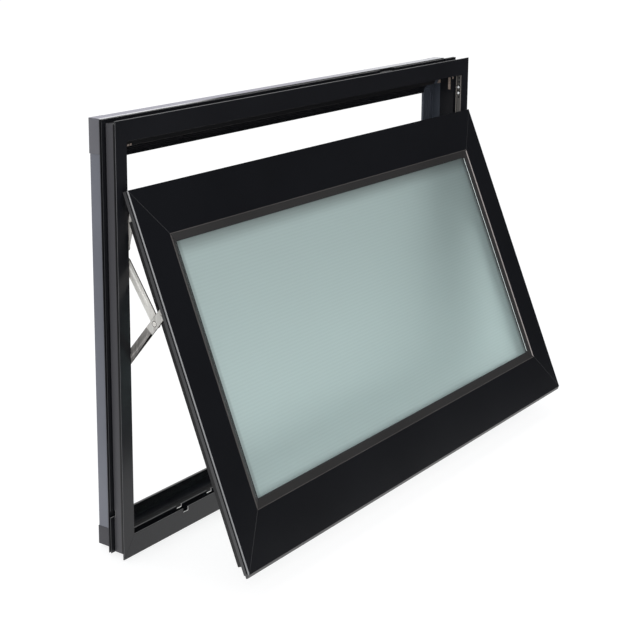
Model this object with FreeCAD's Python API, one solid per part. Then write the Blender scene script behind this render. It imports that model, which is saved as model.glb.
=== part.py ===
import FreeCAD, Part
import math
import os

# Top hung awning window in black aluminium, its sash fixed open on two stainless stays.
# Millimetres. X runs along the width, Y from the outside to the room, Z up.
# The pieces are drawn from the lower left corner of the front face, and written with the
# origin in the middle of the flat face under the sill's wall, where the window is seated.

# Overall size of the frame
WIDTH = 900.0
HEIGHT = 600.0

# Front part of the frame, from the front face backwards
JAMB_FACE = 21.0
HEAD_FACE = 28.4
SILL_FACE = 30.3
FLANGE_THICK = 1.6
RECESS_END = 15.0
WALL_END = 24.0
FIN_STARTS = (25.2, 28.8)
FIN_THICK = 1.2
FRONT_DEPTH = 42.0

# How far each outer layer lies inside the flange's edge
WALL_INSET_SIDE = 8.0
WALL_INSET_HEAD = 5.3
WALL_INSET_SILL = 3.0
FIN_INSET_SIDE = 2.0
FIN_INSET_HEAD = 0.8
FIN_INSET_SILL = 2.0
GROOVE_INSET_SIDE = 18.0
GROOVE_INSET_ENDS = 13.0

# Inner reveal behind the front face, as steps from the edges of that face
REVEAL_STEP_SIDE = 4.0
REVEAL_STEP_HEAD = 1.0
SILL_REBATE = 12.3
SILL_RIB_START = 12.0
SILL_RIB_THICK = 2.0
SILL_RIB_RISE = 13.0

# Cuts in the frame: drain notches in the sill, a slot in each jamb, gaps in the head's fins
DRAIN_PLACE = 122.2
DRAIN_LONG = 10.6
DRAIN_DEEP_FACE = 5.8
DRAIN_DEEP_RIB = 4.2
SECOND_DRAIN_PLACE = 188.0
SLOT_RISE = 53.5
SLOT_TALL = 9.5
SLOT_START = 22.0
SLOT_END = 27.5
SLOT_DEEP = 4.0
FIN_GAP_PLACE = 205.0
FIN_GAP_LONG = 43.0
FIN_GAP_DEEP = 4.0
FIN_NICK_PLACE = 40.0
FIN_NICK_LONG = 3.0

# Rear box of the frame, with the thin lip that narrows the opening
BOX_DEPTH = 18.0
BOX_INSET_SIDE = 15.0
BOX_INSET_ENDS = 2.5
BOX_REVEAL_HEAD = 45.9
LIP_THICK = 2.5
LIP_SIDE = 58.0
LIP_HEAD = 61.4
LIP_SILL = 35.4
LIP_RIM_WIDE = 3.2
LIP_RIM_RISE = 1.5
RIB_COUNT = 4
RIB_WIDE = 1.6
RIB_RISE = 0.8

# Corner covers on the rear box
COVER_THICK = 0.8
COVER_TALL_TOP = 47.3
COVER_TALL_BOTTOM = 26.6
COVER_REAR_LEG = 26.0

# Sash, measured in its own plane from its top outer edge
SASH_ANGLE = 22.65
SASH_TOP_Y = -9.3
SASH_DROP = 90.0
SASH_SHORTFALL = 87.8
SASH_SIDE_GAP = 10.6
STILE_FACE = 50.9
RAIL_FACE = 67.4
SASH_FRONT_DEPTH = 9.0
SASH_DEPTH = 31.5
SASH_GROOVE_START = 2.0
SASH_GROOVE_WIDE = 2.0
SASH_GROOVE_DEEP = 1.5
BODY_INSET_ENDS = 12.0
DRIP_START = 1.0
DRIP_SLOPE_DEPTH = 3.5
DRIP_LAND = 2.5
DRIP_DROP = 4.3

# Rubber seal behind the sash's front face, which stops beside the stay's lower arm
SEAL_DEPTH = 5.5
SEAL_THICK = 3.0
SEAL_TOP_DROP = 39.0
SEAL_GAP_FROM = 148.0
SEAL_GAP_TO = 176.0

# Glass, beads and gaskets
BEAD_WIDE = 11.0
BEAD_START = 0.5
BEAD_EDGE = 1.0
GLASS_START = 5.4
GLASS_THICK = 6.0
GLASS_EDGE_GAP = 1.0
FRONT_GASKET_SHOWS = 1.5
REAR_GASKET_SHOWS = 1.0
REAR_GASKET_THICK = 1.2

# Stays, one on each jamb: places along the track, and on the sash from its top edge
TRACK_THICK = 2.5
TRACK_WIDE = 10.0
TRACK_LONG = 316.0
TRACK_LIP = 1.2
TRACK_GAP = 0.4
TRACK_HOLE_RADIUS = 1.9
TRACK_HOLE_DROPS = (5.3, 12.5, 21.3, 31.8, 39.4)
ARM_THICK = 2.0
ARM_WIDE = 13.7
LINK_WIDE = 9.0
SASH_BAR_WIDE = 14.0
SASH_BAR_GAP = 0.8
SASH_BAR_DROP = 10.0
STAY_GAP = 0.3
RIVET_RADIUS = 3.0
SLIDER_LONG = 46.0
LOWER_PIVOT_RISE = 21.7
TOP_PIVOT_DROP = 28.4
BRACKET_PIVOT_DROP = 163.7
CROSS_SETBACK = 22.0
UPPER_PIVOT_BELOW = 67.8
LINK_PIVOT_BELOW = 47.3

# Sizes that follow from the ones above
DEPTH = FRONT_DEPTH + BOX_DEPTH
REVEAL_SIDE = JAMB_FACE + REVEAL_STEP_SIDE
REVEAL_HEAD = HEAD_FACE + REVEAL_STEP_HEAD
REVEAL_SILL = SILL_FACE - SILL_REBATE
RECESS_SIDE = JAMB_FACE - TRACK_THICK
SASH_TOP_Z = HEIGHT - SASH_DROP
SASH_HEIGHT = HEIGHT - SASH_SHORTFALL
BEAD_END = GLASS_START - BEAD_EDGE
GLASS_END = GLASS_START + GLASS_THICK
STOP_START = GLASS_END + REAR_GASKET_THICK
SEAT = FreeCAD.Vector(WIDTH / 2, (FLANGE_THICK + WALL_END) / 2, WALL_INSET_SILL)

# The stay's three layers of bars lie between the track and the sash body, which they carry
ARM_START = JAMB_FACE + STAY_GAP
ARM_PITCH = ARM_THICK + STAY_GAP
LAYERS = [(ARM_START + i * ARM_PITCH, ARM_START + i * ARM_PITCH + ARM_THICK) for i in range(3)]
BODY_INSET_SIDE = LAYERS[2][1] - SASH_SIDE_GAP
TRACK_START = FLANGE_THICK + TRACK_GAP
TRACK_Y = TRACK_START + TRACK_WIDE / 2
TRACK_TOP = HEIGHT - REVEAL_HEAD - STAY_GAP
TRACK_BOTTOM = TRACK_TOP - TRACK_LONG

# Names of the four members of each ring
FRAME_WORDS = {"left": "left_jamb", "right": "right_jamb", "head": "head", "sill": "sill"}
SASH_WORDS = {"left": "left_stile", "right": "right_stile", "head": "top_rail", "sill": "bottom_rail"}
BEAD_WORDS = {"left": "left", "right": "right", "head": "top", "sill": "bottom"}

# How far a cutting shape runs past what it cuts
PAST = 1.0


def box(x0, x1, y0, y1, z0, z1):
    return Part.makeBox(x1 - x0, y1 - y0, z1 - z0, FreeCAD.Vector(x0, y0, z0))


def prism(points, y0, y1):
    """A solid with its outline in X and Z, between two depths."""
    corners = [FreeCAD.Vector(x, y0, z) for x, z in points]
    face = Part.Face(Part.makePolygon(corners + corners[:1]))
    return face.extrude(FreeCAD.Vector(0, y1 - y0, 0))


def ring(y0, y1, outer, inner):
    """A frame-shaped slab. outer and inner are insets at the sides, the top and the bottom."""
    side, top, bottom = outer
    solid = box(side, WIDTH - side, y0, y1, bottom, HEIGHT - top)
    side, top, bottom = inner
    return solid.cut(box(side, WIDTH - side, y0 - PAST, y1 + PAST, bottom, HEIGHT - top))


def mitre_wedges(low, high, left, right, faces, y0, y1):
    """Four prisms that part a rectangular ring along the lines through its outer and inner corners."""
    side, top, bottom = faces
    apex = (high - low) / (top / side + bottom / side)
    ax, az = left + apex, low + apex * bottom / side
    bx = right - apex
    outlines = {
        "left": [(left, low), (left, high), (ax, az)],
        "right": [(right, low), (right, high), (bx, az)],
        "head": [(left, high), (right, high), (bx, az), (ax, az)],
        "sill": [(left, low), (right, low), (bx, az), (ax, az)],
    }
    return {key: prism(points, y0, y1) for key, points in outlines.items()}


def both_sides(shape):
    """The shape and its mirror image at the other jamb."""
    return [shape, shape.mirror(FreeCAD.Vector(WIDTH / 2, 0, 0), FreeCAD.Vector(1, 0, 0))]


def write(name, shape):
    shape = shape.copy()
    shape.translate(-SEAT)
    shape.exportStep("parts/" + name + ".step")


def frame_cuts():
    """The drain notches, jamb slots and fin gaps, as shapes to cut away."""
    cuts = []
    face_top = SILL_FACE + PAST
    rib_top = REVEAL_SILL + SILL_RIB_RISE
    rib_end = SILL_RIB_START + SILL_RIB_THICK
    x0, x1 = DRAIN_PLACE, DRAIN_PLACE + DRAIN_LONG
    cuts += both_sides(box(x0, x1, -PAST, FLANGE_THICK + PAST, SILL_FACE - DRAIN_DEEP_FACE, face_top))
    rib_floor = rib_top - DRAIN_DEEP_RIB
    for x in (DRAIN_PLACE, SECOND_DRAIN_PLACE):
        notch = box(x, x + DRAIN_LONG, SILL_RIB_START - PAST, rib_end + PAST, rib_floor, rib_top + PAST)
        cuts += both_sides(notch)
    cuts += both_sides(
        box(-PAST, WALL_INSET_SIDE + SLOT_DEEP, SLOT_START, SLOT_END, SLOT_RISE, SLOT_RISE + SLOT_TALL)
    )
    fins_end = FIN_STARTS[-1] + FIN_THICK + PAST
    floor = HEIGHT - FIN_INSET_HEAD - FIN_GAP_DEEP
    for place, long in ((FIN_GAP_PLACE, FIN_GAP_LONG), (FIN_NICK_PLACE, FIN_NICK_LONG)):
        start = WIDTH - place - long
        cuts.append(box(start, start + long, WALL_END, fins_end, floor, HEIGHT + PAST))
    return cuts


def front_frame():
    reveal = (REVEAL_SIDE, REVEAL_HEAD, REVEAL_SILL)
    recess = (RECESS_SIDE, REVEAL_HEAD, REVEAL_SILL)
    wall = (WALL_INSET_SIDE, WALL_INSET_HEAD, WALL_INSET_SILL)
    groove = (GROOVE_INSET_SIDE, GROOVE_INSET_ENDS, GROOVE_INSET_ENDS)
    fin = (FIN_INSET_SIDE, FIN_INSET_HEAD, FIN_INSET_SILL)
    faces = (JAMB_FACE, HEAD_FACE, SILL_FACE)
    solid = ring(0, FLANGE_THICK, (0, 0, 0), faces)
    solid = solid.fuse(ring(FLANGE_THICK, RECESS_END, wall, recess))
    solid = solid.fuse(ring(RECESS_END, WALL_END, wall, reveal))
    solid = solid.fuse(ring(WALL_END, FRONT_DEPTH, groove, reveal))
    for start in FIN_STARTS:
        solid = solid.fuse(ring(start, start + FIN_THICK, fin, groove))
    rib_end = SILL_RIB_START + SILL_RIB_THICK
    rib_top = REVEAL_SILL + SILL_RIB_RISE
    solid = solid.fuse(box(RECESS_SIDE, WIDTH - RECESS_SIDE, SILL_RIB_START, rib_end, REVEAL_SILL, rib_top))
    for cut in frame_cuts():
        solid = solid.cut(cut)
    wedges = mitre_wedges(0, HEIGHT, 0, WIDTH, faces, -PAST, FRONT_DEPTH + PAST)
    for key, word in FRAME_WORDS.items():
        write("frame_" + word, solid.common(wedges[key]).removeSplitter())


def rear_box():
    lip_start = DEPTH - LIP_THICK
    outer = (BOX_INSET_SIDE, BOX_INSET_ENDS, BOX_INSET_ENDS)
    reveal = (REVEAL_SIDE, BOX_REVEAL_HEAD, REVEAL_SILL)
    lip = (LIP_SIDE, LIP_HEAD, LIP_SILL)
    solid = ring(FRONT_DEPTH, lip_start, outer, reveal).fuse(ring(lip_start, DEPTH, outer, lip))
    rim = tuple(edge - LIP_RIM_WIDE for edge in lip)
    solid = solid.fuse(ring(lip_start - LIP_RIM_RISE, lip_start, rim, lip))
    for i in range(RIB_COUNT):
        share = (i + 1) / (RIB_COUNT + 1)
        start = tuple(near + share * (far - near) for near, far in zip(reveal, rim))
        end = tuple(edge + RIB_WIDE for edge in start)
        solid = solid.fuse(ring(lip_start - RIB_RISE, lip_start, start, end))
    faces = tuple(inner - edge for inner, edge in zip(lip, outer))
    wedges = mitre_wedges(
        BOX_INSET_ENDS, HEIGHT - BOX_INSET_ENDS, BOX_INSET_SIDE, WIDTH - BOX_INSET_SIDE,
        faces, FRONT_DEPTH - PAST, DEPTH + PAST,
    )
    for key, word in FRAME_WORDS.items():
        write("reveal_" + word, solid.common(wedges[key]).removeSplitter())


def corner_covers():
    low, high = BOX_INSET_ENDS, HEIGHT - BOX_INSET_ENDS
    levels = {"top": (high - COVER_TALL_TOP, high), "bottom": (low, low + COVER_TALL_BOTTOM)}
    x0 = BOX_INSET_SIDE
    for level, (z0, z1) in levels.items():
        side_leg = box(x0 - COVER_THICK, x0, FRONT_DEPTH, DEPTH + COVER_THICK, z0, z1)
        rear_leg = box(x0, x0 + COVER_REAR_LEG, DEPTH, DEPTH + COVER_THICK, z0, z1)
        left, right = both_sides(side_leg.fuse(rear_leg))
        write("corner_cover_" + level + "_left", left)
        write("corner_cover_" + level + "_right", right)


def place_sash(shape):
    """Turns a piece drawn upright, with its top edge at height 0, into the open sash's plane."""
    shape = shape.copy()
    shape.rotate(FreeCAD.Vector(0, 0, 0), FreeCAD.Vector(1, 0, 0), -SASH_ANGLE)
    shape.translate(FreeCAD.Vector(0, SASH_TOP_Y, SASH_TOP_Z))
    return shape


def sash_point(depth, drop):
    """Y and Z of a point on the open sash, from its front face and its top edge."""
    angle = math.radians(SASH_ANGLE)
    y = SASH_TOP_Y + depth * math.cos(angle) - drop * math.sin(angle)
    z = SASH_TOP_Z - depth * math.sin(angle) - drop * math.cos(angle)
    return y, z


def sash_ring(y0, y1, outer, inner):
    """outer and inner are insets at the stiles and at the rails."""
    left, right = SASH_SIDE_GAP, WIDTH - SASH_SIDE_GAP
    solid = box(left + outer[0], right - outer[0], y0, y1, -SASH_HEIGHT + outer[1], -outer[1])
    low, high = -SASH_HEIGHT + inner[1], -inner[1]
    return solid.cut(box(left + inner[0], right - inner[0], y0 - PAST, y1 + PAST, low, high))


def sash_wedges():
    left, right = SASH_SIDE_GAP, WIDTH - SASH_SIDE_GAP
    faces = (STILE_FACE, RAIL_FACE, RAIL_FACE)
    wedges = mitre_wedges(-SASH_HEIGHT, 0, left, right, faces, -PAST, SASH_DEPTH + PAST)
    below = box(left, right, -PAST, SASH_DEPTH + PAST, -SASH_HEIGHT - DRIP_DROP, -SASH_HEIGHT)
    wedges["sill"] = wedges["sill"].fuse(below)
    return wedges


def drip_lip():
    """A lip along the sash's bottom edge, its front sloped to shed the rain."""
    top, low = -SASH_HEIGHT + SASH_GROOVE_DEEP, -SASH_HEIGHT - DRIP_DROP
    slope_end = DRIP_START + DRIP_SLOPE_DEPTH
    end = slope_end + DRIP_LAND
    outline = [(DRIP_START, top), (DRIP_START, -SASH_HEIGHT), (slope_end, low), (end, low), (end, top)]
    corners = [FreeCAD.Vector(SASH_SIDE_GAP, y, z) for y, z in outline]
    face = Part.Face(Part.makePolygon(corners + corners[:1]))
    return face.extrude(FreeCAD.Vector(WIDTH - 2 * SASH_SIDE_GAP, 0, 0))


def sash_frame():
    face = (STILE_FACE, RAIL_FACE)
    stop = (STILE_FACE + BEAD_WIDE, RAIL_FACE + BEAD_WIDE)
    body = (BODY_INSET_SIDE, BODY_INSET_ENDS)
    groove_end = SASH_GROOVE_START + SASH_GROOVE_WIDE
    groove_floor = (SASH_GROOVE_DEEP, SASH_GROOVE_DEEP)
    solid = sash_ring(0, SASH_FRONT_DEPTH, (0, 0), face)
    solid = solid.cut(sash_ring(SASH_GROOVE_START, groove_end, (0, 0), groove_floor))
    solid = solid.fuse(sash_ring(SASH_FRONT_DEPTH, STOP_START, body, face))
    solid = solid.fuse(sash_ring(STOP_START, SASH_DEPTH, body, stop))
    solid = solid.fuse(drip_lip())
    wedges = sash_wedges()
    for key, word in SASH_WORDS.items():
        write("sash_" + word, place_sash(solid.common(wedges[key]).removeSplitter()))


def sash_seals():
    """A strip behind each side edge of the sash, parted where the stay's arm passes."""
    y0, y1 = SASH_FRONT_DEPTH, SASH_FRONT_DEPTH + SEAL_DEPTH
    x0, x1 = SASH_SIDE_GAP, SASH_SIDE_GAP + SEAL_THICK
    strips = [
        box(x0, x1, y0, y1, -SEAL_GAP_FROM, -SEAL_TOP_DROP),
        box(x0, x1, y0, y1, -SASH_HEIGHT + BODY_INSET_ENDS, -SEAL_GAP_TO),
    ]
    left, right = both_sides(Part.makeCompound(strips))
    write("left_seal", place_sash(left))
    write("right_seal", place_sash(right))


def bead_ring():
    """Glazing beads: a ring that slopes from the sash face down to the glass."""
    left, right = SASH_SIDE_GAP + STILE_FACE, WIDTH - SASH_SIDE_GAP - STILE_FACE
    low, high = -SASH_HEIGHT + RAIL_FACE, -RAIL_FACE
    solid = box(left, right, BEAD_START, GLASS_START, low, high)

    def opening(inset, y):
        x0, x1 = left + inset, right - inset
        z0, z1 = low + inset, high - inset
        corners = [FreeCAD.Vector(x, y, z) for x, z in ((x0, z0), (x1, z0), (x1, z1), (x0, z1))]
        return Part.makePolygon(corners + corners[:1])

    funnel = Part.makeLoft([opening(BEAD_EDGE, BEAD_START), opening(BEAD_WIDE, BEAD_END)], True, True)
    solid = solid.cut(funnel)
    past_glass = box(
        left + BEAD_WIDE, right - BEAD_WIDE, BEAD_END, GLASS_START + PAST, low + BEAD_WIDE, high - BEAD_WIDE
    )
    return solid.cut(past_glass)


def glazing():
    beads = bead_ring()
    wedges = sash_wedges()
    for key, word in BEAD_WORDS.items():
        write("bead_" + word, place_sash(beads.common(wedges[key])))
    edge = (STILE_FACE + GLASS_EDGE_GAP, RAIL_FACE + GLASS_EDGE_GAP)
    left, right = SASH_SIDE_GAP + edge[0], WIDTH - SASH_SIDE_GAP - edge[0]
    pane = box(left, right, GLASS_START, GLASS_END, -SASH_HEIGHT + edge[1], -edge[1])
    write("glass_pane", place_sash(pane))
    bead = (STILE_FACE + BEAD_WIDE, RAIL_FACE + BEAD_WIDE)
    front_to = tuple(inset + FRONT_GASKET_SHOWS for inset in bead)
    rear_to = tuple(inset + REAR_GASKET_SHOWS for inset in bead)
    write("glazing_gasket_front", place_sash(sash_ring(BEAD_END, GLASS_START, bead, front_to)))
    write("glazing_gasket_rear", place_sash(sash_ring(GLASS_END, STOP_START, edge, rear_to)))


def disc(x0, x1, pivot, radius):
    return Part.makeCylinder(radius, x1 - x0, FreeCAD.Vector(x0, *pivot), FreeCAD.Vector(1, 0, 0))


def bar(layer, start, end, wide, pivots):
    """A flat bar with round ends between two points in Y and Z, drilled at its pivots."""
    x0, x1 = layer
    (y0, z0), (y1, z1) = start, end
    long = math.hypot(y1 - y0, z1 - z0)
    shape = Part.makeBox(x1 - x0, long, wide, FreeCAD.Vector(0, 0, -wide / 2))
    slope = math.degrees(math.atan2(z1 - z0, y1 - y0))
    shape.rotate(FreeCAD.Vector(0, 0, 0), FreeCAD.Vector(1, 0, 0), slope)
    shape.translate(FreeCAD.Vector(x0, y0, z0))
    for place in (start, end):
        shape = shape.fuse(disc(x0, x1, place, wide / 2))
    for pivot in pivots:
        shape = shape.cut(disc(x0 - PAST, x1 + PAST, pivot, RIVET_RADIUS))
    return shape


def stay_track():
    x0, x1 = RECESS_SIDE, JAMB_FACE
    y0, y1 = TRACK_START, TRACK_START + TRACK_WIDE
    track = box(x0, x0 + TRACK_LIP, y0, y1, TRACK_BOTTOM, TRACK_TOP)
    for edge in (y0, y1 - TRACK_LIP):
        track = track.fuse(box(x0, x1, edge, edge + TRACK_LIP, TRACK_BOTTOM, TRACK_TOP))
    for drop in TRACK_HOLE_DROPS:
        track = track.cut(disc(x0 - PAST, x1 + PAST, (TRACK_Y, TRACK_TOP - drop), TRACK_HOLE_RADIUS))
    return track


def stays():
    base = RECESS_SIDE + TRACK_LIP
    lower_pivot = (TRACK_Y, TRACK_BOTTOM + LOWER_PIVOT_RISE)
    bar_depth = SASH_FRONT_DEPTH + SASH_BAR_GAP + SASH_BAR_WIDE / 2
    top_pivot = sash_point(bar_depth, TOP_PIVOT_DROP)
    bracket_pivot = sash_point(bar_depth, BRACKET_PIVOT_DROP)
    bar_top = sash_point(bar_depth, SASH_BAR_DROP + SASH_BAR_WIDE / 2)
    upper_pivot = (TRACK_Y, top_pivot[1] - UPPER_PIVOT_BELOW)
    link_pivot = (TRACK_Y, top_pivot[1] - LINK_PIVOT_BELOW)
    back = CROSS_SETBACK / math.dist(lower_pivot, bracket_pivot)
    cross_pivot = tuple(far + back * (near - far) for near, far in zip(lower_pivot, bracket_pivot))
    first, second, third = LAYERS
    slider_middle = (upper_pivot[1] + link_pivot[1]) / 2
    slider = box(
        base + STAY_GAP, JAMB_FACE,
        TRACK_START + TRACK_LIP + STAY_GAP, TRACK_START + TRACK_WIDE - TRACK_LIP - STAY_GAP,
        slider_middle - SLIDER_LONG / 2, slider_middle + SLIDER_LONG / 2,
    )
    rivets = [
        disc(base, first[1], lower_pivot, RIVET_RADIUS),
        disc(first[0], second[1], cross_pivot, RIVET_RADIUS),
        disc(first[0], third[1], bracket_pivot, RIVET_RADIUS),
        disc(JAMB_FACE, second[1], upper_pivot, RIVET_RADIUS),
        disc(JAMB_FACE, second[1], link_pivot, RIVET_RADIUS),
        disc(second[0], third[1], top_pivot, RIVET_RADIUS),
    ]
    lower_holes = (lower_pivot, cross_pivot, bracket_pivot)
    pieces = {
        "track": stay_track(),
        "slider": slider,
        "lower_arm": bar(first, lower_pivot, bracket_pivot, ARM_WIDE, lower_holes),
        "upper_arm": bar(second, upper_pivot, cross_pivot, ARM_WIDE, (upper_pivot, cross_pivot)),
        "top_link": bar(second, link_pivot, top_pivot, LINK_WIDE, (link_pivot, top_pivot)),
        "sash_bar": bar(third, bar_top, bracket_pivot, SASH_BAR_WIDE, (top_pivot, bracket_pivot)),
        "rivets": Part.makeCompound(rivets),
    }
    for name, shape in pieces.items():
        left, right = both_sides(shape)
        write("left_stay_" + name, left)
        write("right_stay_" + name, right)


os.makedirs("parts", exist_ok=True)
front_frame()
rear_box()
corner_covers()
sash_frame()
sash_seals()
glazing()
stays()
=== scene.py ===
import bmesh
import bpy
import math
from mathutils import Matrix, Vector


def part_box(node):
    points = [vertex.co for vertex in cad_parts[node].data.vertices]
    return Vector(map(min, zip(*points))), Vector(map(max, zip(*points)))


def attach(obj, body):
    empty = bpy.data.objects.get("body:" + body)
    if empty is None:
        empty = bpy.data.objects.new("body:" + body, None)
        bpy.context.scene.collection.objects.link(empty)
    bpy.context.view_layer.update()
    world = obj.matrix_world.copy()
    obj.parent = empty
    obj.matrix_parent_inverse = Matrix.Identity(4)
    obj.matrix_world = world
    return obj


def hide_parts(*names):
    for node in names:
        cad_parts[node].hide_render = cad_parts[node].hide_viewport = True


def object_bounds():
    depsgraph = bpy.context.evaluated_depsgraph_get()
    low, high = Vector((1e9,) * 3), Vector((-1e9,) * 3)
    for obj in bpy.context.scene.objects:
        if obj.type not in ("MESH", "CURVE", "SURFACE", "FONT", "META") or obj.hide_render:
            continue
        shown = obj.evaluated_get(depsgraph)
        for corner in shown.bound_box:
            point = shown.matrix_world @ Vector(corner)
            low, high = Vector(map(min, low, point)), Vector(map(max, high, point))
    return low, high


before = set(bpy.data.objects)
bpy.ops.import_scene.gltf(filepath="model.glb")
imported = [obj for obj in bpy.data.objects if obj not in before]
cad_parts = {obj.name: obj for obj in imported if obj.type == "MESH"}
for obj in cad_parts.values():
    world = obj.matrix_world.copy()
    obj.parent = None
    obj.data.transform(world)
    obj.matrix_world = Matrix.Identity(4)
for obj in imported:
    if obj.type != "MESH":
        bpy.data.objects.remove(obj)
cad_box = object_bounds()
BODY = "root"

# The photograph's viewpoint, in metres and degrees, and its frame in pixels
IMAGE_SIDE = 640
FOCAL_PIXELS = 1420.3
CENTRE_PIXEL = (300.0, 180.0)
SENSOR_MM = 36.0
EYE = Vector((-1.7442, -1.2517, 0.8856))
YAW = math.radians(53.781)
PITCH = math.radians(-11.548)
ROLL = math.radians(0.292)
CLIP_START = 0.05
CLIP_END = 100

# The lower left corner of the frame's front face, from which details are placed
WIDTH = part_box("frame_head")[1].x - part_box("frame_head")[0].x
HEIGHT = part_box("frame_left_jamb")[1].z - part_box("frame_left_jamb")[0].z
CORNER = Vector((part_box("frame_head")[0].x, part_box("frame_head")[0].y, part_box("frame_sill")[0].z))

# The open sash's plane: its tilt, its top edge in Y and Z from that corner, and where its front faces
SASH_TILT = math.radians(22.65)
SASH_TOP = (-0.0093, 0.510)
SASH_FRONT = Vector((0, -math.cos(SASH_TILT), math.sin(SASH_TILT)))

# The frame's outer wall and the grooves beside it, from its side, and the sill's floor, from its bottom
WALL_SIDE = 0.008
GROOVES = (0.001, 0.0205)
SILL_FLOOR = 0.018

# Cut places of the frame, from its nearer lower corner, whose faces are bare metal
CUTS = (
    ((0.1222, 0.0, 0.0245), (0.1328, 0.0016, 0.0303)),
    ((0.1222, 0.012, 0.0268), (0.1328, 0.014, 0.031)),
    ((0.188, 0.012, 0.0268), (0.1986, 0.014, 0.031)),
    ((0.002, 0.022, 0.0535), (0.012, 0.0275, 0.063)),
)

# The sash's side faces, from the frame's side, and the drip lip, by its drop and its depth
SASH_SIDE = 0.0106
SASH_SIDE_END = SASH_SIDE + 0.0018
LIP_START = 0.5132
LIP_BACK = 0.0045

# The beads' depths behind the sash's front, at their outer land and beside the glass, and the side
# beads' inner edge and low ridge, from the frame's side
BEAD_FRONT = 0.0005
BEAD_INNER_FRONT = 0.0044
BEAD_INNER = 0.0725
BEAD_RIDGE = 0.0643
RIDGE_RISE = 0.0004

# How far apart two numbers may lie and still be the same place, and how straight a face has to look
# along an axis to count as facing it
NEAR = 0.0004
TIGHT = 0.0001
CUT_SLACK = 0.0002
FACING = 0.9


def at(x, y, z):
    return CORNER + Vector((x, y, z))


def near(a, b, slack=NEAR):
    return abs(a - b) < slack


def inside(point, low, high):
    return all(low[i] - CUT_SLACK <= point[i] <= high[i] + CUT_SLACK for i in range(3))


def place_on_sash(point):
    """A point's depth behind the open sash's front face, and its drop from the top edge."""
    y = point.y - CORNER.y - SASH_TOP[0]
    z = point.z - CORNER.z - SASH_TOP[1]
    depth = y * math.cos(SASH_TILT) - z * math.sin(SASH_TILT)
    drop = -y * math.sin(SASH_TILT) - z * math.cos(SASH_TILT)
    return depth, drop


def side_distance(point):
    """How far a point lies from the nearer outer side of the frame."""
    across = point.x - CORNER.x
    return min(across, WIDTH - across)


# Camera, lamps and surroundings

# Each lamp's name, place, width and brightness, and the point that both face
LAMPS = (
    ("front_left", (-2.6, -1.6, 1.7), 0.9, 7.0),
    ("above", (0.1, 0.9, 2.8), 2.2, 1.0),
)
LAMP_TARGET = (0, 0, 0.3)

# The light from all round, and in reflections the dark before the window and how it turns white in Y
AMBIENT = 0.8
AMBIENT_TINT = (0.96, 0.98, 1.0)
ROOM_GREY = 0.02
ROOM_TURNS_WHITE = (-0.15, 0.25)

# The floor: its size, its gap under the window, its paleness, where the pool of light that metal
# mirrors fades, and how much of its white takes light and how dark the shadow may be
FLOOR_HALF = 30.0
FLOOR_GAP = 0.002
FLOOR_PALE = 0.9
POOL_FADES = (0.2, 1.6)
SHADOW_SHARE = 0.3
SHADOW_DEPTH = 0.2


def make_camera():
    forward = Vector((math.sin(YAW) * math.cos(PITCH), math.cos(YAW) * math.cos(PITCH), math.sin(PITCH)))
    level = Vector((math.cos(YAW), -math.sin(YAW), 0))
    upward = level.cross(forward)
    right = level * math.cos(ROLL) + upward * math.sin(ROLL)
    up = upward * math.cos(ROLL) - level * math.sin(ROLL)
    data = bpy.data.cameras.new("camera")
    data.sensor_width = SENSOR_MM
    data.lens = FOCAL_PIXELS * SENSOR_MM / IMAGE_SIDE
    data.shift_x = (IMAGE_SIDE / 2 - CENTRE_PIXEL[0]) / IMAGE_SIDE
    data.shift_y = (CENTRE_PIXEL[1] - IMAGE_SIDE / 2) / IMAGE_SIDE
    data.clip_start = CLIP_START
    data.clip_end = CLIP_END
    camera = bpy.data.objects.new("camera", data)
    turn = Matrix((right, up, -forward)).transposed().to_4x4()
    camera.matrix_world = Matrix.Translation(EYE) @ turn
    bpy.context.scene.collection.objects.link(camera)
    bpy.context.scene.camera = camera


def area_lamp(name, place, size, radiance):
    data = bpy.data.lights.new(name, "AREA")
    data.shape = "SQUARE"
    data.size = size
    data.energy = radiance * math.pi * size * size
    lamp = bpy.data.objects.new(name, data)
    lamp.location = place
    lamp.rotation_mode = "QUATERNION"
    lamp.rotation_quaternion = (Vector(LAMP_TARGET) - Vector(place)).to_track_quat("-Z", "Y")
    bpy.context.scene.collection.objects.link(lamp)


def node(tree, kind, **inputs):
    """A shader node with some of its sockets set, an underscore standing for a space."""
    made = tree.nodes.new("ShaderNode" + kind)
    for name, value in inputs.items():
        made.inputs[name.replace("_", " ")].default_value = value
    return made


def spread(tree, source, start, end, low, high):
    """Grey that goes from low to high as the source goes from start to end."""
    made = tree.nodes.new("ShaderNodeMapRange")
    made.interpolation_type = "SMOOTHSTEP"
    for name, value in (("From Min", start), ("From Max", end), ("To Min", low), ("To Max", high)):
        made.inputs[name].default_value = value
    tree.links.new(source, made.inputs["Value"])
    return made.outputs["Result"]


def mix_shaders(tree, factor, first, second):
    mix = tree.nodes.new("ShaderNodeMixShader")
    tree.links.new(factor, mix.inputs["Fac"])
    tree.links.new(first, mix.inputs[1])
    tree.links.new(second, mix.inputs[2])
    return mix.outputs[0]


def object_place(tree):
    """Where a point of the surface lies in the object's own frame."""
    return tree.nodes.new("ShaderNodeTexCoord").outputs["Object"]


def split_axes(tree, place):
    """The X, Y and Z of a place."""
    split = tree.nodes.new("ShaderNodeSeparateXYZ")
    tree.links.new(place, split.inputs[0])
    return split.outputs


def by_ray(tree, plain, mirrored, through_glass, to_camera):
    """One shader for the light itself, and others for what mirrors, glass and the camera show."""
    ray = tree.nodes.new("ShaderNodeLightPath")
    seen = mix_shaders(tree, ray.outputs["Is Glossy Ray"], plain, mirrored)
    seen = mix_shaders(tree, ray.outputs["Is Transmission Ray"], seen, through_glass)
    return mix_shaders(tree, ray.outputs["Is Camera Ray"], seen, to_camera)


def background(tree, colour, strength):
    return node(tree, "Background", Color=(*colour, 1), Strength=strength)


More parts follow.
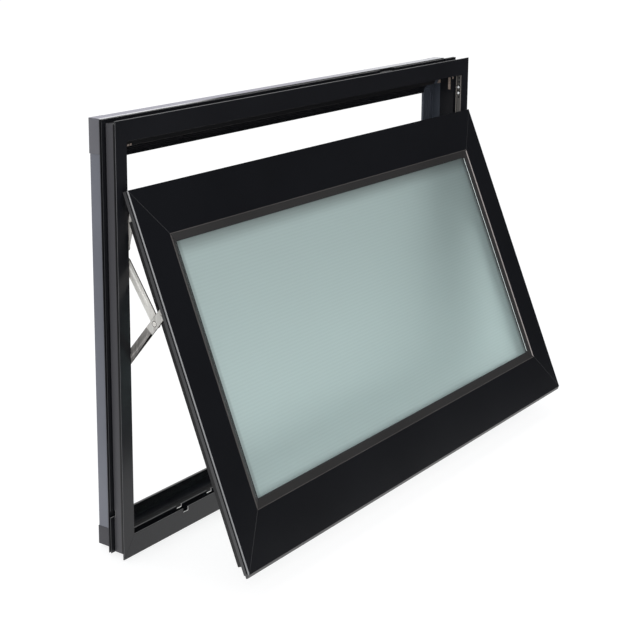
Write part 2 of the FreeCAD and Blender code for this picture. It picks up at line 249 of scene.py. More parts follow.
def glow(tree, strength):
    return node(tree, "Emission", Strength=strength)


def diffuse(tree, grey):
    return node(tree, "BsdfDiffuse", Color=(grey, grey, grey, 1))


def make_world():
    """White to the camera and through glass; in reflections white behind the window, dark before it."""
    world = bpy.data.worlds.new("studio")
    bpy.context.scene.world = world
    world.use_nodes = True
    tree = world.node_tree
    tree.nodes.clear()
    white = background(tree, (1, 1, 1), 1.0).outputs[0]
    ambient = background(tree, AMBIENT_TINT, AMBIENT).outputs[0]
    room = background(tree, (1, 1, 1), 1.0)
    direction = tree.nodes.new("ShaderNodeTexCoord").outputs["Generated"]
    inward = split_axes(tree, direction)["Y"]
    tree.links.new(spread(tree, inward, *ROOM_TURNS_WHITE, ROOM_GREY, 1.0), room.inputs["Color"])
    seen = by_ray(tree, ambient, room.outputs[0], white, white)
    out = tree.nodes.new("ShaderNodeOutputWorld")
    tree.links.new(seen, out.inputs["Surface"])


def floor_white():
    """White to the camera but for a soft shadow, and in reflections a pool of light."""
    material = bpy.data.materials.new("floor_white")
    material.use_nodes = True
    tree = material.node_tree
    tree.nodes.clear()
    reach = tree.nodes.new("ShaderNodeVectorMath")
    reach.operation = "LENGTH"
    tree.links.new(object_place(tree), reach.inputs[0])
    pool = spread(tree, reach.outputs["Value"], *POOL_FADES, 1.0, ROOM_GREY)
    mirrored = glow(tree, 1.0)
    tree.links.new(pool, mirrored.inputs["Color"])
    shown = tree.nodes.new("ShaderNodeAddShader")
    tree.links.new(diffuse(tree, SHADOW_SHARE).outputs[0], shown.inputs[0])
    tree.links.new(glow(tree, 1.0 - SHADOW_DEPTH).outputs[0], shown.inputs[1])
    pale = diffuse(tree, FLOOR_PALE).outputs[0]
    through_glass = glow(tree, FLOOR_PALE).outputs[0]
    seen = by_ray(tree, pale, mirrored.outputs[0], through_glass, shown.outputs[0])
    out = tree.nodes.new("ShaderNodeOutputMaterial")
    tree.links.new(seen, out.inputs["Surface"])
    return material


def make_floor():
    z = cad_box[0].z - FLOOR_GAP
    mesh = bpy.data.meshes.new("floor")
    corners = [(-1, -1), (1, -1), (1, 1), (-1, 1)]
    mesh.from_pydata([(x * FLOOR_HALF, y * FLOOR_HALF, z) for x, y in corners], [], [(0, 1, 2, 3)])
    mesh.materials.append(floor_white())
    floor = bpy.data.objects.new("floor", mesh)
    bpy.context.scene.collection.objects.link(floor)


# Materials

# The powder coat's clouds of tone and of gloss, its orange peel, and how much its gloss drifts
TONE_SCALE = 5.0
GLOSS_SCALE = 11.0
GLOSS_DRIFT = 0.04
PEEL_SCALE = 1100.0
PEEL_STRENGTH = 0.12

# The finer grain of the two-tone coats and glass, the strengths of the other finishes' bumps, and the
# depth of all
FINE_SCALE = 900.0
FROST_STRENGTH = 0.1
MATT_STRENGTH = 0.1
GRAIN_STRENGTH = 0.15
BUMP_DEPTH = 0.0002

# The steel's grain in X, Y and Z: fine all round, or drawn out in Z
FINE = (300.0, 300.0, 300.0)
LONG = (300.0, 300.0, 8.0)

# The glass, its fine lines by their height from one to the next and by how much they waver, and the
# wave texture's own turns in a unit
GLASS_DARK = (0.575, 0.695, 0.68)
GLASS_PALE = (0.605, 0.73, 0.715)
GLASS_ROUGHNESS = 0.4
GLASS_CLEARNESS = 0.68
GLASS_IOR = 1.45
LINE_PITCH = 0.0045
LINE_WAVER = 0.15
WAVES_PER_TURN = 20.0

# The pane's visible edges, the painted light and shade from its bottom to its top, and the painted shade
# beside the beads
PANE_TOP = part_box("bead_top")[0].z
PANE_TALL = PANE_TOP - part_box("bead_bottom")[1].z
PANE_HALF = WIDTH / 2 - BEAD_INNER
PANE_LIT_TO_SHADED = (1.13, 0.9)
TOP_SHADE_REACH = 0.022
TOP_SHADE = 0.62
SIDE_SHADE_REACH = 0.0105
SIDE_SHADE_FULL = 0.0055
SIDE_SHADE = 0.7

# The painted highlight along the top of the rear box's front at the head: where it ends in Z and where it
# fades out towards the right in X; and where the painted light on the box's top gets paler. The outer
# wall: where the painted shade in its inner corner ends in Y
BOX_HIGHLIGHT_BAND = (CORNER.z + 0.5888, CORNER.z + 0.5896)
BOX_HIGHLIGHT_FADES = (CORNER.x + 0.32, CORNER.x + 0.12)
BOX_TOP_LIGHTENS = (CORNER.x + 0.3, CORNER.x + 0.85)
WALL_SHADE_ENDS = (CORNER.y + 0.0111, CORNER.y + 0.0117)


def new_material(name, **inputs):
    material = bpy.data.materials.new(name)
    material.use_nodes = True
    tree = material.node_tree
    shader = tree.nodes["Principled BSDF"]
    for key, value in inputs.items():
        shader.inputs[key.replace("_", " ")].default_value = value
    return material, tree, shader


def noise(tree, scale, detail=2.0, stretch=(1.0, 1.0, 1.0)):
    mapping = node(tree, "Mapping", Scale=stretch)
    texture = node(tree, "TexNoise", Scale=scale, Detail=detail)
    tree.links.new(object_place(tree), mapping.inputs["Vector"])
    tree.links.new(mapping.outputs["Vector"], texture.inputs["Vector"])
    return texture.outputs["Fac"]


def ramp(tree, source, low, high, start=0.35, end=0.65):
    made = tree.nodes.new("ShaderNodeValToRGB")
    made.color_ramp.elements[0].position = start
    made.color_ramp.elements[1].position = end
    made.color_ramp.elements[0].color = (*low, 1)
    made.color_ramp.elements[1].color = (*high, 1)
    tree.links.new(source, made.inputs["Fac"])
    return made.outputs["Color"]


def add_bump(tree, shader, source, strength):
    bump = node(tree, "Bump", Strength=strength, Distance=BUMP_DEPTH)
    tree.links.new(source, bump.inputs["Height"])
    tree.links.new(bump.outputs["Normal"], shader.inputs["Normal"])


def coat(name, colour, roughness, specular=0.5, drift=0.1):
    """Satin powder coat: fine orange peel, and a slight drift of tone and gloss."""
    material, tree, shader = new_material(name, Specular_IOR_Level=specular)
    low = [c * (1 - drift) for c in colour]
    high = [c * (1 + drift) for c in colour]
    tree.links.new(ramp(tree, noise(tree, TONE_SCALE, detail=3.0), low, high), shader.inputs["Base Color"])
    gloss = tree.nodes.new("ShaderNodeMapRange")
    gloss.inputs["To Min"].default_value = roughness - GLOSS_DRIFT
    gloss.inputs["To Max"].default_value = roughness + GLOSS_DRIFT
    tree.links.new(noise(tree, GLOSS_SCALE), gloss.inputs["Value"])
    tree.links.new(gloss.outputs["Result"], shader.inputs["Roughness"])
    add_bump(tree, shader, noise(tree, PEEL_SCALE, detail=1.0), PEEL_STRENGTH)
    return material


def steel(name, low, high, roughness, stretch, metallic=0.4):
    """Stainless strip with the grain of rolling along it."""
    material, tree, shader = new_material(name, Metallic=metallic, Roughness=roughness)
    grain = noise(tree, scale=1.0, detail=3.0, stretch=stretch)
    tree.links.new(ramp(tree, grain, low, high), shader.inputs["Base Color"])
    add_bump(tree, shader, grain, GRAIN_STRENGTH)
    return material


def matt(name, low, high, roughness, scale):
    """Rubber, or a raw cut end, with an even grain."""
    material, tree, shader = new_material(name, Roughness=roughness)
    grain = noise(tree, scale)
    tree.links.new(ramp(tree, grain, low, high), shader.inputs["Base Color"])
    add_bump(tree, shader, grain, MATT_STRENGTH)
    return material


def calculation(tree, kind, *sources):
    made = tree.nodes.new("ShaderNodeMath")
    made.operation = kind
    for number, source in enumerate(sources):
        tree.links.new(source, made.inputs[number])
    return made.outputs[0]


def two_tone(name, limits, low, high, roughness):
    """A coat that goes from one colour to another between two places on an axis.

    limits gives the two places for each axis. With more than one axis the second colour shows only
    where all of them reach it.
    """
    material, tree, shader = new_material(name, Roughness=roughness)
    axes = split_axes(tree, object_place(tree))
    share = None
    for axis, (start, end) in limits.items():
        across = spread(tree, axes[axis], start, end, 0.0, 1.0)
        share = calculation(tree, "MULTIPLY", share, across) if share else across
    tree.links.new(ramp(tree, share, low, high, start=0.2, end=0.8), shader.inputs["Base Color"])
    add_bump(tree, shader, noise(tree, FINE_SCALE), PEEL_STRENGTH)
    return material


def pane_painted_shade(tree):
    """Painted light and shade on the pane: lighter at its bottom, darker towards its top, and darker
    beside the beads.
    """
    axes = split_axes(tree, object_place(tree))
    height = axes["Z"]
    across = calculation(tree, "ABSOLUTE", axes["X"])
    whole = spread(tree, height, PANE_TOP - PANE_TALL, PANE_TOP, *PANE_LIT_TO_SHADED)
    top = spread(tree, height, PANE_TOP - TOP_SHADE_REACH, PANE_TOP, 1.0, TOP_SHADE)
    side = spread(tree, across, PANE_HALF - SIDE_SHADE_REACH, PANE_HALF - SIDE_SHADE_FULL, 1.0, SIDE_SHADE)
    return calculation(tree, "MULTIPLY", calculation(tree, "MULTIPLY", whole, top), side)


def frosted_glass(name):
    """Green grey glass, frosted, with faint fine lines along the sash's width, and painted light and shade
    across the pane.
    """
    material, tree, shader = new_material(
        name, Roughness=GLASS_ROUGHNESS, Transmission_Weight=GLASS_CLEARNESS, IOR=GLASS_IOR,
    )
    scale = 2 * math.pi / (WAVES_PER_TURN * LINE_PITCH)
    lines = node(tree, "TexWave", Scale=scale, Distortion=LINE_WAVER, Detail=1.0)
    lines.bands_direction = "Z"
    tree.links.new(object_place(tree), lines.inputs["Vector"])
    tint = ramp(tree, lines.outputs["Fac"], GLASS_DARK, GLASS_PALE, start=0.1, end=0.9)
    painted_tint = tree.nodes.new("ShaderNodeVectorMath")
    painted_tint.operation = "SCALE"
    tree.links.new(tint, painted_tint.inputs[0])
    tree.links.new(pane_painted_shade(tree), painted_tint.inputs["Scale"])
    tree.links.new(painted_tint.outputs["Vector"], shader.inputs["Base Color"])
    add_bump(tree, shader, noise(tree, FINE_SCALE), FROST_STRENGTH)
    return material


# Powder coat and plastic, and lighter and darker copies of them that paint highlights, sheen and shade,
# with the roughness after the colours
black = coat("black_coat", (0.0075, 0.008, 0.0105), 0.3)
frame_black = coat("frame_coat", (0.0105, 0.0108, 0.0135), 0.3, specular=0.41)
# A darker copy of the frame coat: painted shade on the flange's sides, the sill's floor and round the
# track screws
shade = coat("shaded_coat", (0.006, 0.006, 0.007), 0.4, specular=0.15)
bead_black = coat("bead_coat", (0.036, 0.034, 0.034), 0.32)
# Lighter copies of the bead coat: a faint painted highlight on the outer land and outside the ridge, and a
# stronger one on the right bead
bead_land_highlight = coat("bead_outer_painted_highlight", (0.1, 0.09, 0.086), 0.3)
bead_side_highlight = coat("bead_side_painted_highlight", (0.42, 0.375, 0.36), 0.3)
# A near white painted glint along the side beads' inner edge beside the glass
bead_glint = coat("bead_inner_painted_glint", (0.86, 0.95, 0.92), 0.2, drift=0.05)
# The outer wall's side: a grey copy of the frame coat that paints its sheen, dark in the inner corner by
# the flange as painted shade
wall_sheen_and_shade = two_tone("outer_wall_painted_sheen_and_shade", {"Y": WALL_SHADE_ENDS}, (0.007, 0.007, 0.008), (0.076, 0.074, 0.081), 0.4)
# A grey copy of the frame coat on the grooves' side faces: painted sheen
groove_sheen = coat("side_groove_painted_sheen", (0.028, 0.028, 0.031), 0.4)
film_grey = coat("rear_box_side", (0.178, 0.183, 0.213), 0.4)
# The box's top: painted light, paler towards the right
box_top_light = two_tone("rear_box_top_painted_light", {"X": BOX_TOP_LIGHTENS}, (0.29, 0.28, 0.34), (0.55, 0.55, 0.58), 0.4)
# A darker copy of the box's blue grey: painted shade inside the jambs' boxes
box_inside_shade = coat("rear_box_inside_painted_shade", (0.062, 0.071, 0.09), 0.35)
# A grey copy of the black coat on the sash's side faces and mitre lines: painted sheen
sash_side_sheen = coat("sash_side_painted_sheen", (0.06, 0.06, 0.062), 0.36)
# A grey copy of the black coat on the drip lip: painted sheen
lip_sheen = coat("sash_lip_painted_sheen", (0.052, 0.051, 0.051), 0.36)
# A pale copy of the coat along the sash's front corners: painted highlight
edge_highlight = coat("sash_corner_painted_highlight", (0.3, 0.3, 0.305), 0.35)
# A pale copy of the coat along the frame's front rim: painted highlight
rim_highlight = coat("frame_rim_painted_highlight", (0.15, 0.15, 0.155), 0.35)
cover_grey = coat("corner_cover", (0.165, 0.163, 0.18), 0.5, specular=0.4)
# A darker copy of the cover grey for the lower covers: painted shade
cover_shaded = coat("corner_cover_lower_painted_shade", (0.064, 0.062, 0.07), 0.5, specular=0.4)

# Metal, with lighter and darker copies that paint light, glints and shade, glass, the painted highlight on
# the rear box, and rubber, with the roughness after the dark and the light tone
bare = steel("bare_metal", (0.62, 0.61, 0.6), (0.8, 0.79, 0.78), 0.35, FINE)
raw_end = matt("raw_cut_end", (0.33, 0.25, 0.21), (0.46, 0.37, 0.31), 0.5, scale=400.0)
bright_steel = steel("bright_steel", (0.86, 0.83, 0.78), (0.95, 0.93, 0.88), 0.28, LONG, metallic=0.2)
# A darker copy of the stay steel: painted shade on the lower arm, its rib and the slider
shaded_steel = steel("shaded_steel", (0.25, 0.238, 0.227), (0.42, 0.4, 0.38), 0.28, LONG)
# The track's channel takes a darker copy of its steel, painted shade, and its lip a lighter one, painted
# light
track_channel_shade = steel("track_channel_shade", (0.12, 0.114, 0.108), (0.21, 0.2, 0.188), 0.36, LONG)
# A dark brown copy of the steel: painted shade on the arms' narrow edges and in rings round the rivets
steel_edge_shade = steel("arm_edge_painted_shade", (0.1, 0.08, 0.07), (0.2, 0.165, 0.15), 0.35, FINE)
plate_steel = steel("arm_end", (0.66, 0.64, 0.6), (0.86, 0.84, 0.8), 0.28, LONG, metallic=0.3)
track_lip_light = steel("track_lip_painted_light", (0.44, 0.4, 0.37), (0.6, 0.55, 0.51), 0.35, LONG)
# Near white screw heads that paint their glint
screw_glint = steel("screw_glint", (0.9, 0.91, 0.91), (0.96, 0.96, 0.96), 0.16, FINE, metallic=0.3)
pane = frosted_glass("frosted_pane")
# A painted highlight along the top of the head box's front and its top front edge, fading out towards the
# right, dark below it
box_edge_highlight = two_tone(
    "box_edge_highlight", {"Z": BOX_HIGHLIGHT_BAND, "X": BOX_HIGHLIGHT_FADES}, (0.012, 0.012, 0.014), (0.9, 0.89, 0.9), 0.4,
)
seal_black = matt("seal_rubber", (0.006, 0.006, 0.007), (0.011, 0.011, 0.012), 0.5, scale=500.0)
rubber = matt("gasket_rubber", (0.026, 0.026, 0.028), (0.042, 0.042, 0.045), 0.6, scale=500.0)


# Pieces

# How close points are one, at what angle faces are still one and edges sharp, and the steps across an
# eased edge and across a line
MERGE = 0.00001
FLAT_ANGLE = math.radians(1.0)
SHARP_ANGLE = math.radians(25)
EASED_STEPS = 2
LINE_STEPS = 3


def raise_ridges(work, ridges):
    """Cuts a side bead along places in X, and lifts the cut a little on its front."""
    for x in ridges:
        whole = work.verts[:] + work.edges[:] + work.faces[:]
        cut = bmesh.ops.bisect_plane(work, geom=whole, plane_co=(x, 0, 0), plane_no=(1, 0, 0))["geom_cut"]
        for vert in cut:
            if isinstance(vert, bmesh.types.BMVert) and place_on_sash(vert.co)[0] < BEAD_INNER_FRONT:
                vert.co += SASH_FRONT * RIDGE_RISE


def eased(name, materials, width, choose=None, lines=(), ridges=()):
    """A copy of a CAD piece with its sharp edges eased, which stands for it.

    choose gives the material of a face from its middle and its normal, and without it all faces get
    the first. lines are tests of an edge's two ends, each with the width and the material that such
    an edge gets. ridges are places in X where the front of a side bead stands out a little.
    """
    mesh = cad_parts[name].data.copy()
    mesh.name = name + "_eased"
    mesh.materials.clear()
    for material in materials:
        mesh.materials.append(material)
    work = bmesh.new()
    work.from_mesh(mesh)
    bmesh.ops.remove_doubles(work, verts=work.verts, dist=MERGE)
    bmesh.ops.dissolve_limit(work, angle_limit=FLAT_ANGLE, verts=work.verts, edges=work.edges)
    raise_ridges(work, ridges)
    work.normal_update()
    for face in work.faces:
        chosen = choose(face.calc_center_median(), face.normal) if choose else materials[0]
        face.material_index = materials.index(chosen)
    for test, line_width, material in lines:
        edges = [edge for edge in work.edges if test(*[vert.co for vert in edge.verts])]
        bmesh.ops.bevel(
            work, geom=edges, offset=line_width, offset_type="OFFSET", segments=LINE_STEPS, profile=0.5,
            affect="EDGES", clamp_overlap=True, material=materials.index(material),
        )
    work.to_mesh(mesh)
    work.free()
    piece = bpy.data.objects.new(name + "_eased", mesh)
    bpy.context.scene.collection.objects.link(piece)
    bevel = piece.modifiers.new("edges", "BEVEL")
    bevel.width = width
    bevel.segments = EASED_STEPS
    bevel.limit_method = "ANGLE"
    bevel.angle_limit = SHARP_ANGLE
    bevel.harden_normals = True
    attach(piece, BODY)
    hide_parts(name)


def add_piece(name, verts, faces, material, smooth=False):
    mesh = bpy.data.meshes.new(name)
    mesh.from_pydata([tuple(v) for v in verts], [], faces)
    work = bmesh.new()
    work.from_mesh(mesh)
    bmesh.ops.remove_doubles(work, verts=work.verts, dist=MERGE)
    bmesh.ops.recalc_face_normals(work, faces=work.faces)
    work.to_mesh(mesh)
    work.free()
    mesh.materials.append(material)
    if smooth:
        mesh.shade_smooth()
    piece = bpy.data.objects.new(name, mesh)
    bpy.context.scene.collection.objects.link(piece)
    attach(piece, BODY)


def closed_faces(start, count, levels):
    """Faces of a closed body whose points lie in loops of count, one above the other."""
    last = start + (levels - 1) * count
    faces = [tuple(range(start, start + count)), tuple(range(last, last + count))]
    for low in range(start, last, count):
        for i in range(count):
            first = low + i
            second = low + (i + 1) % count
            faces.append((first, second, second + count, first + count))
    return faces


def dress(name, material):
    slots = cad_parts[name].data.materials
    slots.clear()
    slots.append(material)


# Frame

# Widths of the eased edges, and of the painted highlight lines along the frame's rim and the head box's
# top front edge
FRAME_EDGE = 0.0003
COVER_EDGE = 0.0003
RIM_WIDTH = 0.00045
BOX_HIGHLIGHT_WIDTH = 0.0015


def choose_frame(point, normal):
    local = Vector((side_distance(point), point.y - CORNER.y, point.z - CORNER.z))
    if any(inside(local, low, high) for low, high in CUTS):
        return bare
    # Side faces of the outer wall: painted sheen, with painted shade in the inner corner
    if abs(normal.x) > FACING and near(local.x, WALL_SIDE):
        return wall_sheen_and_shade
    # Side faces in the grooves: painted sheen
    if abs(normal.x) > FACING and GROOVES[0] < local.x < GROOVES[1]:
        return groove_sheen
    # The flange's side and the sill's floor: painted shade
    shaded = near(local.x, 0) or (normal.z > FACING and near(local.z, SILL_FLOOR))
    return shade if shaded else frame_black


def on_jamb_rim(a, b):
    return all(near(point.y, CORNER.y) and near(side_distance(point), 0) for point in (a, b))


def on_head_rim(a, b):
    top = CORNER.z + HEIGHT
    return all(near(point.y, CORNER.y) and near(point.z, top) for point in (a, b))


def choose_reveal(point, normal):
    low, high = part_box("reveal_head")
    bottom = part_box("reveal_sill")[0].z
    # The box's top: painted light
    if near(point.z, high.z):
        return box_top_light
    outer = near(point.x, low.x) or near(point.x, high.x) or near(point.z, bottom)
    return film_grey if outer else frame_black


def choose_reveal_head(point, normal):
    # The head box's front: a painted highlight band along its top
    front = normal.y < -FACING and near(point.y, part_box("reveal_head")[0].y)
    return box_edge_highlight if front else choose_reveal(point, normal)


def choose_reveal_jamb(point, normal):
    outer = choose_reveal(point, normal)
    # The jambs' inner box faces: painted shade
    inner = outer == frame_black and not near(point.y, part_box("reveal_head")[1].y)
    return box_inside_shade if inner else outer


def on_box_top_front(a, b):
    low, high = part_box("reveal_head")
    return all(near(point.y, low.y) and near(point.z, high.z) for point in (a, b))


def dress_frame():
    coats = (frame_black, bare, wall_sheen_and_shade, shade, rim_highlight, groove_sheen)
    box_coats = (frame_black, film_grey, box_inside_shade, box_edge_highlight, box_top_light)
    head_rim = ((on_head_rim, RIM_WIDTH, rim_highlight),)
    jamb_rim = ((on_jamb_rim, RIM_WIDTH, rim_highlight),)
    box_highlight_line = ((on_box_top_front, BOX_HIGHLIGHT_WIDTH, box_edge_highlight),)
    for word, rim, choose, line in (
        ("head", head_rim, choose_reveal_head, box_highlight_line),
        ("sill", (), choose_reveal, ()),
        ("left_jamb", jamb_rim, choose_reveal_jamb, ()),
        ("right_jamb", jamb_rim, choose_reveal_jamb, ()),
    ):
        eased("frame_" + word, coats, FRAME_EDGE, choose_frame, rim)
        eased("reveal_" + word, box_coats, COVER_EDGE, choose, line)
    for side in ("left", "right"):
        eased("corner_cover_top_" + side, (cover_grey,), COVER_EDGE)
        eased("corner_cover_bottom_" + side, (cover_shaded,), COVER_EDGE)


# Raw ends in the corner of head and jamb: in Y and Z on the reveal's side, in X and Z on its front
REVEAL_SIDE = 0.025
REVEAL_FRONT = 0.042
END_THICK = 0.0004
SIDE_ENDS = (
    ((0.0212, 0.5438), (0.0256, 0.5438), (0.0256, 0.567), (0.0212, 0.567)),
    ((0.0155, 0.563), (0.0175, 0.563), (0.0175, 0.567), (0.0155, 0.567)),
)
FRONT_ENDS = {
    "left": (
        ((0.0659, 0.5543), (0.0697, 0.5543), (0.0697, 0.557), (0.0659, 0.5565)),
        ((0.0709, 0.5543), (0.0748, 0.5543), (0.0748, 0.557), (0.0709, 0.557)),
    ),
    "right": (((0.8651, 0.5543), (0.8748, 0.5543), (0.8748, 0.5607), (0.8686, 0.5596)),),
}


def raw_ends(name, outlines, place):
    """Thin plates on one face. place gives the point for two numbers of an outline and a depth."""
    verts = []
    faces = []
    for outline in outlines:
        faces += closed_faces(len(verts), len(outline), levels=2)
        for depth in (-END_THICK, END_THICK):
            verts += [place(u, v, depth) for u, v in outline]
    add_piece(name, verts, faces, raw_end)


def joint_ends(side):
    inward = 1 if side == "left" else -1
    face = REVEAL_SIDE if side == "left" else WIDTH - REVEAL_SIDE
    raw_ends(side + "_joint_ends", SIDE_ENDS, lambda y, z, depth: at(face + inward * depth, y, z))
    raw_ends(side + "_front_ends", FRONT_ENDS[side], lambda x, z, depth: at(x, REVEAL_FRONT + depth, z))


# Sash

# Widths of the eased edges, of the painted highlight lines at the sash's corner and mitres and the painted
# glint beside the glass, and how far an edge runs both ways to be a mitre
SASH_EDGE = 0.0007
BEAD_EDGE = 0.0002
PANE_EDGE = 0.0003
CORNER_WIDTH = 0.0012
MITRE_WIDTH = 0.0004
GLINT_WIDTH = 0.0011
MITRE_REACH = 0.03


def choose_sash(point, normal):
    depth, drop = place_on_sash(point)
    # Side faces: painted sheen
    if abs(normal.x) > FACING and side_distance(point) < SASH_SIDE_END:
        return sash_side_sheen
    # The drip lip: painted sheen
    return lip_sheen if drop > LIP_START and depth < LIP_BACK else black


def on_sash_front(a, b):
    return near(place_on_sash(a)[0], 0) and near(place_on_sash(b)[0], 0)


def on_sash_corner(a, b):
    upright = near(a.x, b.x) and near(side_distance(a), SASH_SIDE)
    return upright and on_sash_front(a, b)


def on_sash_mitre(a, b):
    slanted = abs(a.x - b.x) > MITRE_REACH and abs(a.z - b.z) > MITRE_REACH
    return slanted and on_sash_front(a, b)


def bead_chooser(edge):
    """Gives a bead's outer land, and what lies outside the side beads' ridge, the edge's coat, which
    paints a highlight.
    """
    def choose(point, normal):
        land = near(place_on_sash(point)[0], BEAD_FRONT, slack=TIGHT)
        return edge if land or side_distance(point) < BEAD_RIDGE else bead_black
    return choose


def on_bead_inner(a, b):
    """Whether an edge is the side bead's front edge beside the glass."""
    depths = (place_on_sash(a)[0], place_on_sash(b)[0])
    upright = near(side_distance(a), BEAD_INNER) and near(side_distance(b), BEAD_INNER)
    return upright and near(a.x, b.x) and all(near(depth, BEAD_INNER_FRONT) for depth in depths)


def dress_sash():
    coats = (black, sash_side_sheen, lip_sheen, edge_highlight)
    sash_lines = ((on_sash_corner, CORNER_WIDTH, edge_highlight), (on_sash_mitre, MITRE_WIDTH, sash_side_sheen))
    for word in ("top_rail", "bottom_rail", "left_stile", "right_stile"):
        eased("sash_" + word, coats, SASH_EDGE, choose_sash, sash_lines)
    glint = ((on_bead_inner, GLINT_WIDTH, bead_glint),)
    # edge is the coat that paints each bead's highlight
    for word, edge, lines, ridges in (
        ("top", bead_land_highlight, (), ()),
        ("bottom", bead_land_highlight, (), ()),
        ("left", bead_land_highlight, glint, (CORNER.x + BEAD_RIDGE,)),
        ("right", bead_side_highlight, glint, (CORNER.x + WIDTH - BEAD_RIDGE,)),
    ):
        coats = (bead_black, edge, bead_glint)
        eased("bead_" + word, coats, BEAD_EDGE, bead_chooser(edge), lines, ridges)
    eased("glass_pane", (pane,), PANE_EDGE)
    for name in ("glazing_gasket_front", "glazing_gasket_rear"):
        dress(name, rubber)
    for name in ("left_seal", "right_seal"):
        dress(name, seal_black)


# Stays: arms with pressed ribs and a joggle, domed rivets, screws in the track

# Half the arms' width, the eased edge of arms and track, and how straight a flat side looks along X
ARM_HALF = 0.00685
ARM_EDGE = 0.0001
ARM_FACING = 0.5

# A pressed rib's half width, slope, rise and sink, and where it starts and ends along each arm
RIB_HALF = 0.0026
RIB_SLOPE = 0.0012
RIB_RISE = 0.0009
RIB_SINK = 0.0003
LOWER_RIB = (0.04, 0.55)
UPPER_RIB = (0.04, 0.68)

# Where the lower arm's end is set out, how much narrower it is, and how far it is set out
JOGGLE = 0.63
PLATE_INSET = 0.0003
PLATE_RISE = 0.0006

# The track's lip, which takes painted light, from the frame's side
TRACK_LIP = 0.021

# Heads and collars, by radius and rise, and how far the screws lie under the track's top
RIVET_HEAD = 0.0037
RIVET_RISE = 0.0017
RIVET_COLLAR = 0.0052
SCREW_HEAD = 0.0028
SCREW_RISE = 0.0018
SCREW_COLLAR = 0.0037
COLLAR_RISE = 0.0009
SCREW_DROPS = (0.0213, 0.0318)

# Points in half a turn, and the loops of a dome, each by its share of the rise and of the radius
ROUND_STEPS = 12
DOME_LOOPS = ((-0.1, 1.0), (0.0, 1.0), (0.45, 0.93), (0.8, 0.72), (0.97, 0.4), (1.0, 0.12))


def capsule(x, start, end, radius, square=False):
    """Points round a slot shape in Y and Z at one x, its round ends centred on start and end.

    A square one has a straight end at start.
    """
    turn = math.atan2(end[1] - start[1], end[0] - start[0])
    points = []
    for centre, first in ((end, turn - math.pi / 2), (start, turn + math.pi / 2)):
        steps = 1 if square and centre == start else ROUND_STEPS
        for i in range(steps + 1):
            angle = first + math.pi * i / steps
            y = centre[0] + radius * math.cos(angle)
            z = centre[1] + radius * math.sin(angle)
            points.append(Vector((x, y, z)))
    return points


def stacked(name, loops, material, smooth=False):
    """A closed steel piece from loops of points that lie one above the other."""
    verts = [point for loop in loops for point in loop]
    faces = closed_faces(0, len(loops[0]), len(loops))
    add_piece(name, verts, faces, material, smooth)


def along(start, end, share):
    return tuple(a + (b - a) * share for a, b in zip(start, end))


def pressed_rib(name, x, outward, start, end, material):
    stacked(name, [
        capsule(x - outward * RIB_SINK, start, end, RIB_HALF),
        capsule(x, start, end, RIB_HALF),
        capsule(x + outward * RIB_RISE, start, end, RIB_HALF - RIB_SLOPE),
    ], material)


def joggled_end(name, x, outward, start, end):
    """The arm's end that is set out from the rest, with a bent edge where it begins."""
    half = ARM_HALF - PLATE_INSET
    length = math.hypot(end[0] - start[0], end[1] - start[1])
    bend = along(start, end, PLATE_RISE / length)
    stacked(name, [
        capsule(x - outward * RIB_SINK, start, end, half, square=True),
        capsule(x, start, end, half, square=True),
        capsule(x + outward * PLATE_RISE, bend, end, half - PLATE_INSET, square=True),
    ], plate_steel)


def dome(name, x, outward, centre, radius, rise, material):
    """A low domed head with its base at x."""
    loops = [capsule(x + outward * rise * up, centre, centre, radius * share) for up, share in DOME_LOOPS]
    stacked(name, loops, material, smooth=True)


def arm_line(side, word):
    """An arm's outer face in X, and the middles of its round ends in Y and Z, the frame's end first."""
    low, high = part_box(side + "_stay_" + word)
    face = low.x if side == "left" else high.x
    start_z = low.z + ARM_HALF
    end_z = high.z - ARM_HALF
    if word == "upper_arm":
        start_z, end_z = end_z, start_z
    return face, (high.y - ARM_HALF, start_z), (low.y + ARM_HALF, end_z)


def dress_arms(side, outward):
    face, start, end = arm_line(side, "lower_arm")
    ends = [along(start, end, share) for share in LOWER_RIB]
    pressed_rib(side + "_lower_arm_rib", face, outward, *ends, shaded_steel)
    joggled_end(side + "_lower_arm_end", face, outward, along(start, end, JOGGLE), end)
    face, start, end = arm_line(side, "upper_arm")
    ends = [along(start, end, share) for share in UPPER_RIB]
    pressed_rib(side + "_upper_arm_rib", face, outward, *ends, bright_steel)


def rivet_places(name):
    """The middle of each rivet in Y and Z, and its lowest and highest X, from the lowest rivet up."""
    work = bmesh.new()
    work.from_mesh(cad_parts[name].data)
    bmesh.ops.remove_doubles(work, verts=work.verts, dist=MERGE)
    unseen = set(work.verts)
    places = []
    while unseen:
        group = set()
        queue = [unseen.pop()]
        while queue:
            vert = queue.pop()
            group.add(vert)
            for edge in vert.link_edges:
                other = edge.other_vert(vert)
                if other in unseen:
                    unseen.remove(other)
                    queue.append(other)
        lows = [min(v.co[i] for v in group) for i in range(3)]
        highs = [max(v.co[i] for v in group) for i in range(3)]
        middle = ((lows[1] + highs[1]) / 2, (lows[2] + highs[2]) / 2)
        places.append((middle, lows[0], highs[0]))
    work.free()
    return sorted(places, key=lambda place: place[0][1])


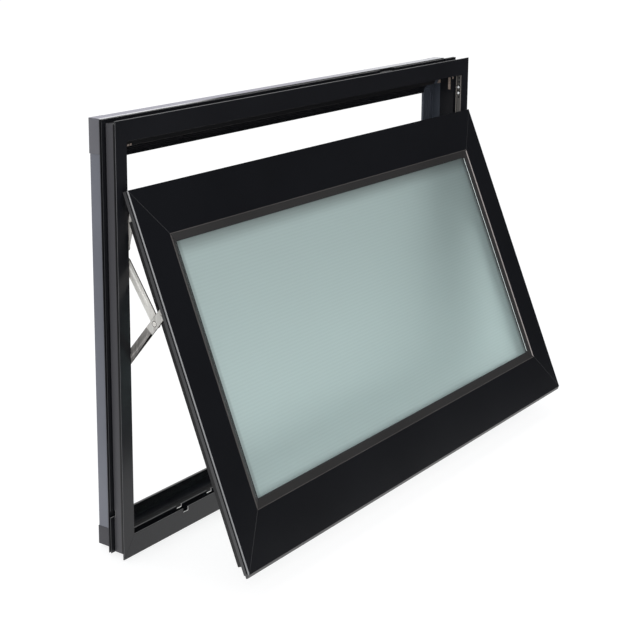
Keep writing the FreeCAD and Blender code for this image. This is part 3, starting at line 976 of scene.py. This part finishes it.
def showing(x, way, side):
    """Whether a rivet's end is free: neither in the track nor at the back of the sash's bar."""
    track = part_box(side + "_stay_track")
    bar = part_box(side + "_stay_sash_bar")
    if side == "left":
        return x > track[1].x + TIGHT if way < 0 else x < bar[1].x - TIGHT
    return x < track[0].x - TIGHT if way > 0 else x > bar[0].x + TIGHT


def dress_rivets(side):
    for number, (middle, low_x, high_x) in enumerate(rivet_places(side + "_stay_rivets")):
        for end_word, x, way in (("near", low_x, -1), ("far", high_x, 1)):
            if showing(x, way, side):
                name = f"{side}_rivet_{number}_{end_word}"
                # A painted shade ring round each rivet under its bright head
                dome(name + "_collar", x, way, middle, RIVET_COLLAR, COLLAR_RISE, steel_edge_shade)
                dome(name, x, way, middle, RIVET_HEAD, RIVET_RISE, bright_steel)


def dress_screws(side, outward):
    low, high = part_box(side + "_stay_track")
    x = high.x if side == "left" else low.x
    for number, drop in enumerate(SCREW_DROPS):
        centre = ((low.y + high.y) / 2, high.z - drop)
        name = f"{side}_track_screw_{number}"
        # A painted shade ring round each screw under a head that paints its glint
        dome(name + "_collar", x, -outward, centre, SCREW_COLLAR, COLLAR_RISE, shade)
        dome(name, x, -outward, centre, SCREW_HEAD, SCREW_RISE, screw_glint)


def choose_track(point, normal):
    return track_lip_light if near(side_distance(point), TRACK_LIP) else track_channel_shade


def arm_chooser(flat):
    """Gives an arm's flat sides one steel, and its narrow edges the darker one, which paints their shade.
    """
    return lambda point, normal: steel_edge_shade if abs(normal.x) < ARM_FACING else flat


def dress_stay(side):
    outward = -1 if side == "left" else 1
    eased(side + "_stay_track", (track_channel_shade, track_lip_light), ARM_EDGE, choose_track)
    for word, flat in (("upper_arm", bright_steel), ("lower_arm", shaded_steel)):
        eased(side + "_stay_" + word, (flat, steel_edge_shade), ARM_EDGE, arm_chooser(flat))
    dress(side + "_stay_slider", shaded_steel)
    for word in ("top_link", "sash_bar", "rivets"):
        dress(side + "_stay_" + word, bright_steel)
    dress_arms(side, outward)
    dress_rivets(side)
    dress_screws(side, outward)


make_camera()
make_world()
make_floor()
for lamp_row in LAMPS:
    area_lamp(*lamp_row)
dress_frame()
dress_sash()
for hand in ("left", "right"):
    joint_ends(hand)
    dress_stay(hand)

bpy.context.scene.view_settings.view_transform = "Standard"
